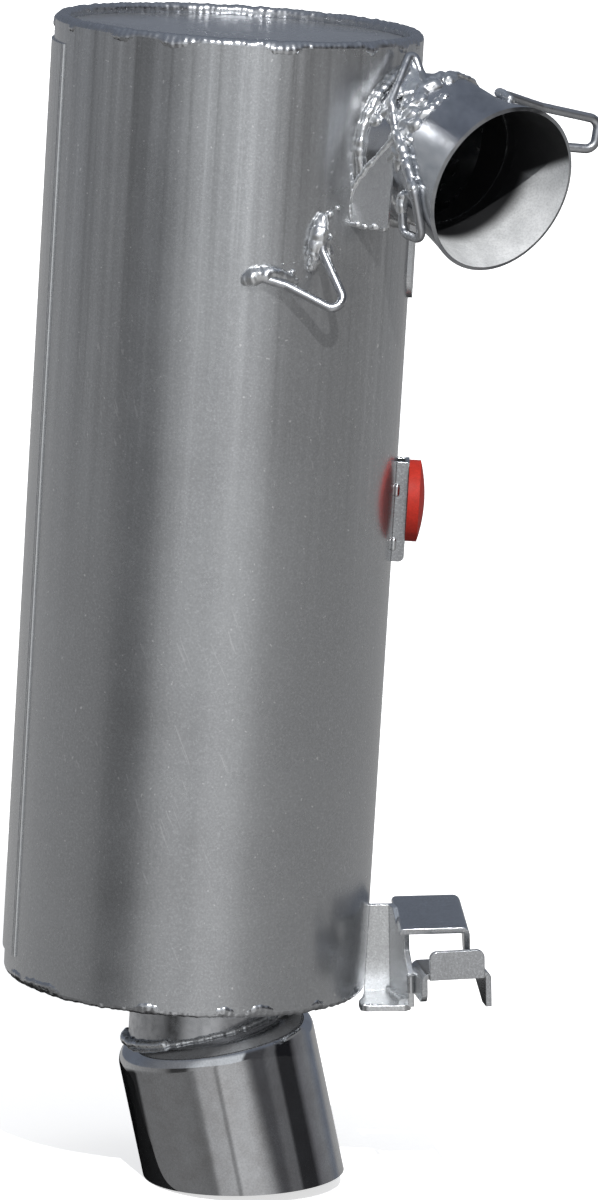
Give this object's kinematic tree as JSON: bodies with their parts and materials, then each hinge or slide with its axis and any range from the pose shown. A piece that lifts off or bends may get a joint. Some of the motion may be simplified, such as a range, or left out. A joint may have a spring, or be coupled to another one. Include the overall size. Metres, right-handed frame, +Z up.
{
  "type": "exhaust muffler",
  "caption": "Round packed exhaust muffler with an angled flared side inlet, spring hooks, a rubber bumper, a folded hanger and a wider slash-cut tip.",
  "frame": {"origin": "on the inlet's axis, where its slip bore ends and the flare begins", "axes": "+Z up along the round body's axis, towards the capped end by the inlet; +X towards the bumper and hanger; -Y is the front, the side that the inlet mouth turns to"},
  "size_m": [0.1901, 0.1405, 0.4093],
  "materials": {
    "satin_steel": "satin silver coating over sheet steel",
    "bright_steel": "smooth bright coating over steel tube",
    "hook_rod": "smooth bright coating over steel rod",
    "weld_bead": "rippled bright weld metal",
    "polished_tip": "polished",
    "bracket_steel": "satin coated sheet",
    "red_rubber": "matte red-orange heat-resistant rubber",
    "inner_steel": "plain sheet",
    "steel_wool": "fibrous",
    "glass_fibre": "matted fibre"
  },
  "bodies": {
    "root": {"shell": "satin_steel", "top_cap": "satin_steel", "bottom_cap": "satin_steel", "inlet_doubler": "satin_steel", "inlet_gusset": "satin_steel", "inlet_stub": "bright_steel", "inlet_elbow": "bright_steel", "outlet_stub": "bright_steel", "spring_hook_front": "hook_rod", "spring_hook_rear": "hook_rod", "spring_hook_top": "hook_rod", "spring_hook_lower": "hook_rod", "shell_seam_weld": "weld_bead", "top_cap_weld": "weld_bead", "bottom_cap_weld": "weld_bead", "inlet_stub_weld": "weld_bead", "inlet_mitre_weld": "weld_bead", "inlet_gusset_weld": "weld_bead", "spring_hook_front_welds": "weld_bead", "spring_hook_rear_welds": "weld_bead", "spring_hook_top_welds": "weld_bead", "spring_hook_lower_welds": "weld_bead", "bumper_bracket_welds": "weld_bead", "hanger_welds": "weld_bead", "outlet_cap_weld": "weld_bead", "outlet_tip_weld": "weld_bead", "outlet_tip": "polished_tip", "bumper_bracket": "bracket_steel", "hanger_angle": "bracket_steel", "hanger_foot": "bracket_steel", "hanger_upper_clip": "bracket_steel", "hanger_lower_clip": "bracket_steel", "bumper_pad": "red_rubber", "upper_baffle": "inner_steel", "lower_baffle": "inner_steel", "perforated_core": "inner_steel", "steel_wool_wrap": "steel_wool", "fibre_packing": "glass_fibre"}
  },
  "joints": []
}
